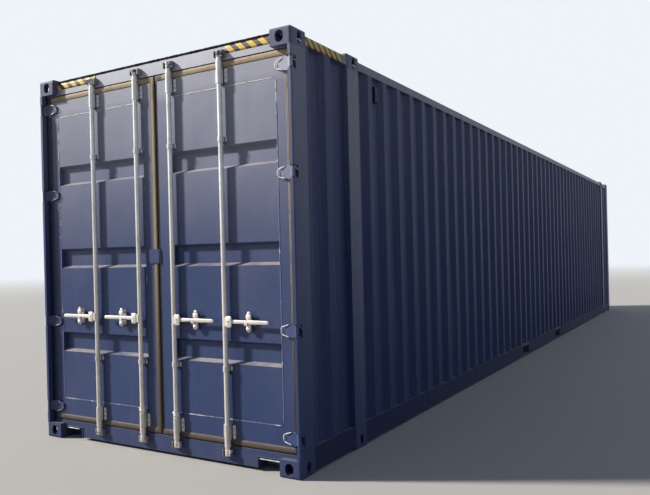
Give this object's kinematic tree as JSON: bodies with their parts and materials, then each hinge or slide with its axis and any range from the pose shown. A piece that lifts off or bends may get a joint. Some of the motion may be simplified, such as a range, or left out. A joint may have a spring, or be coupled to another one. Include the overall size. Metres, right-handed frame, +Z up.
{
  "type": "shipping container",
  "caption": "Long high-cube steel cargo container with corrugated walls, double end doors with lock rods and handles, corner fittings and a second set of fittings further in.",
  "frame": {"origin": "on the ground, in the middle of the box's footprint", "axes": "+Z up, +Y along the box towards the closed end, doors at the -Y end, +X to the right of someone who faces the doors"},
  "size_m": [2.438, 13.716, 2.896],
  "materials": {
    "paint_navy": "satin navy paint, dusty and faded",
    "paint_castings": "satin navy paint on cast steel, rubbed",
    "zinc": "dull hot-dip galvanised steel",
    "seal_rubber": "rubber seal under tan dust",
    "plywood": "worn marine plywood",
    "vent_plastic": "matt moulded plastic, painted over"
  },
  "bodies": {
    "box": {"corner_castings": "paint_castings", "inner_castings": "paint_castings", "door_posts": "paint_navy", "front_posts": "paint_navy", "inner_posts": "paint_navy", "door_header": "paint_navy", "door_sill": "paint_navy", "front_top_rail": "paint_navy", "front_bottom_rail": "paint_navy", "top_side_rails": "paint_navy", "bottom_side_rails": "paint_navy", "side_walls": "paint_navy", "end_panels": "paint_navy", "front_wall": "paint_navy", "roof_sheet": "paint_navy", "roof_end_plates": "paint_navy", "cross_members": "paint_navy", "fork_pockets": "paint_navy", "gooseneck_tunnel": "paint_navy", "floor_boards": "plywood", "floor_centre_rail": "paint_navy", "ventilators": "vent_plastic", "hinge_lugs": "paint_navy", "cam_keepers": "zinc"},
    "door_left": {"door_frame_left": "paint_navy", "door_panel_left": "paint_navy", "door_seal_left": "seal_rubber", "hinge_blades_left": "paint_navy", "rod_brackets_left": "zinc", "handle_catches_left": "zinc"},
    "door_right": {"door_frame_right": "paint_navy", "door_panel_right": "paint_navy", "door_seal_right": "seal_rubber", "hinge_blades_right": "paint_navy", "rod_brackets_right": "zinc", "handle_catches_right": "zinc", "door_lap_plate": "paint_navy"},
    "rod_left_outer": {"lock_rod_1": "zinc"},
    "rod_left_inner": {"lock_rod_2": "zinc"},
    "rod_right_inner": {"lock_rod_3": "zinc"},
    "rod_right_outer": {"lock_rod_4": "zinc"},
    "handle_left_outer": {"handle_1": "zinc"},
    "handle_left_inner": {"handle_2": "zinc"},
    "handle_right_inner": {"handle_3": "zinc"},
    "handle_right_outer": {"handle_4": "zinc"}
  },
  "joints": [
    {"name": "door_left_swing", "type": "hinge", "parent": "box", "child": "door_left", "pos_m": [-1.205, -6.844, 1.45], "axis": [0, 0, -1], "range_deg": [0, 265]},
    {"name": "door_right_swing", "type": "hinge", "parent": "box", "child": "door_right", "pos_m": [1.205, -6.844, 1.45], "axis": [0, 0, 1], "range_deg": [0, 265]},
    {"name": "rod_left_outer_turn", "type": "hinge", "parent": "door_left", "child": "rod_left_outer", "pos_m": [-0.632, -6.834, 1.45], "axis": [0, 0, -1], "range_deg": [-110, 0]},
    {"name": "rod_left_inner_turn", "type": "hinge", "parent": "door_left", "child": "rod_left_inner", "pos_m": [-0.17, -6.834, 1.45], "axis": [0, 0, -1], "range_deg": [-110, 0]},
    {"name": "rod_right_outer_turn", "type": "hinge", "parent": "door_right", "child": "rod_right_outer", "pos_m": [0.622, -6.834, 1.45], "axis": [0, 0, 1], "range_deg": [-110, 0]},
    {"name": "rod_right_inner_turn", "type": "hinge", "parent": "door_right", "child": "rod_right_inner", "pos_m": [0.162, -6.834, 1.45], "axis": [0, 0, 1], "range_deg": [-110, 0]},
    {"name": "handle_left_outer_lift", "type": "hinge", "parent": "rod_left_outer", "child": "handle_left_outer", "pos_m": [-0.666, -6.843, 0.993], "axis": [0, -1, 0], "range_deg": [-20, 0]},
    {"name": "handle_left_inner_lift", "type": "hinge", "parent": "rod_left_inner", "child": "handle_left_inner", "pos_m": [-0.204, -6.843, 0.993], "axis": [0, -1, 0], "range_deg": [-20, 0]},
    {"name": "handle_right_outer_lift", "type": "hinge", "parent": "rod_right_outer", "child": "handle_right_outer", "pos_m": [0.656, -6.843, 0.993], "axis": [0, 1, 0], "range_deg": [-20, 0]},
    {"name": "handle_right_inner_lift", "type": "hinge", "parent": "rod_right_inner", "child": "handle_right_inner", "pos_m": [0.196, -6.843, 0.993], "axis": [0, 1, 0], "range_deg": [-20, 0]}
  ]
}
